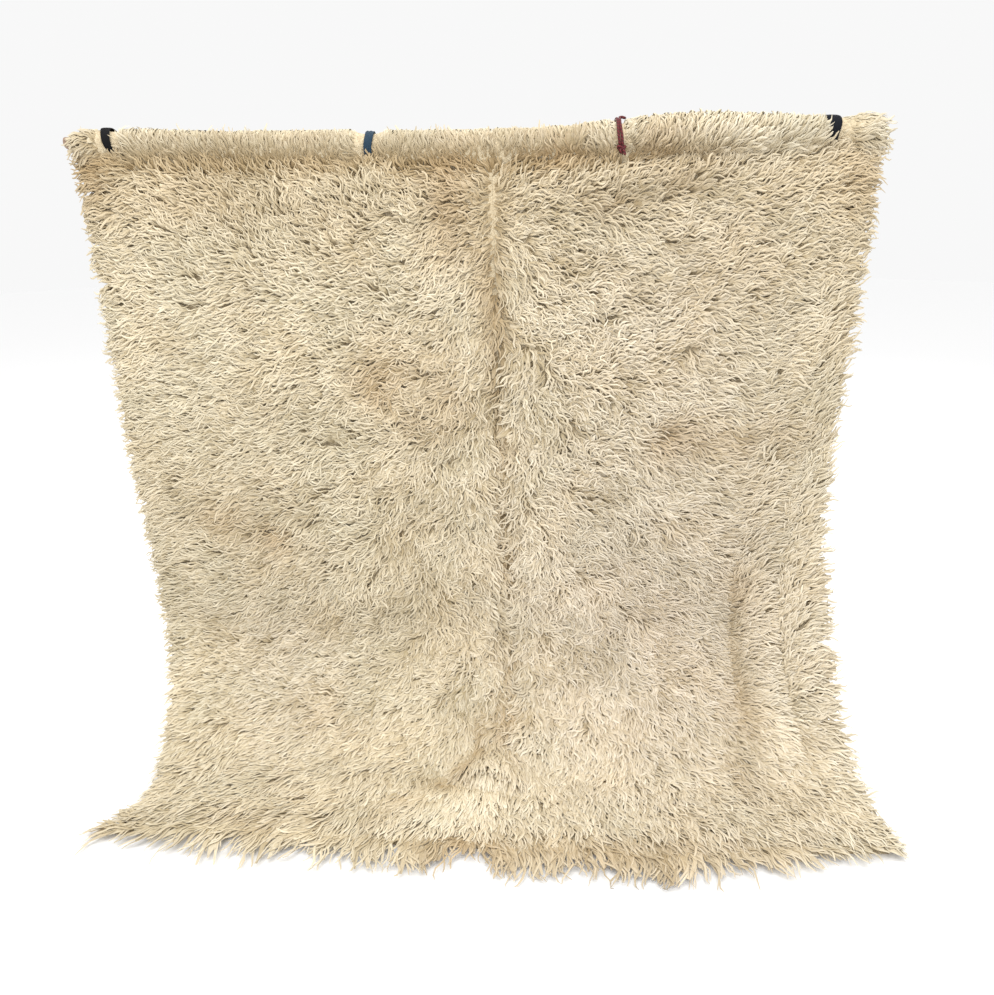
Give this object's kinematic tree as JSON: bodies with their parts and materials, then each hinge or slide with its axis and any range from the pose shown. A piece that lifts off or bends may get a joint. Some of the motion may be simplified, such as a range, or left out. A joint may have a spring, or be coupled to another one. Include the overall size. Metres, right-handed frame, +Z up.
{
  "type": "flokati rug on a hanging pole",
  "caption": "Long-pile cream wool rug of joined panels, hung over a bowed wooden pole by cloth and cord ties, its foot sweeping forward onto the floor.",
  "frame": {"origin": "centre of the pole at the middle of its length", "axes": "+X runs along the pole to the right, -Y faces the room and +Z is up"},
  "size_m": [2.0306, 0.6718, 1.6361],
  "materials": {
    "wool_pile": "long undyed cream wool locks with soft brown and pink stains",
    "pole_wood": "plain dry wood",
    "black_webbing": "flat woven strap with a slight sheen",
    "blue_cloth": "worn folded cotton band",
    "red_cord": "twisted cord of two strands"
  },
  "bodies": {
    "root": {"pole": "pole_wood", "panel_left": "wool_pile", "panel_right": "wool_pile", "tie_black_narrow": "black_webbing", "tie_blue": "blue_cloth", "tie_red": "red_cord", "tie_black_wide": "black_webbing"}
  },
  "joints": []
}
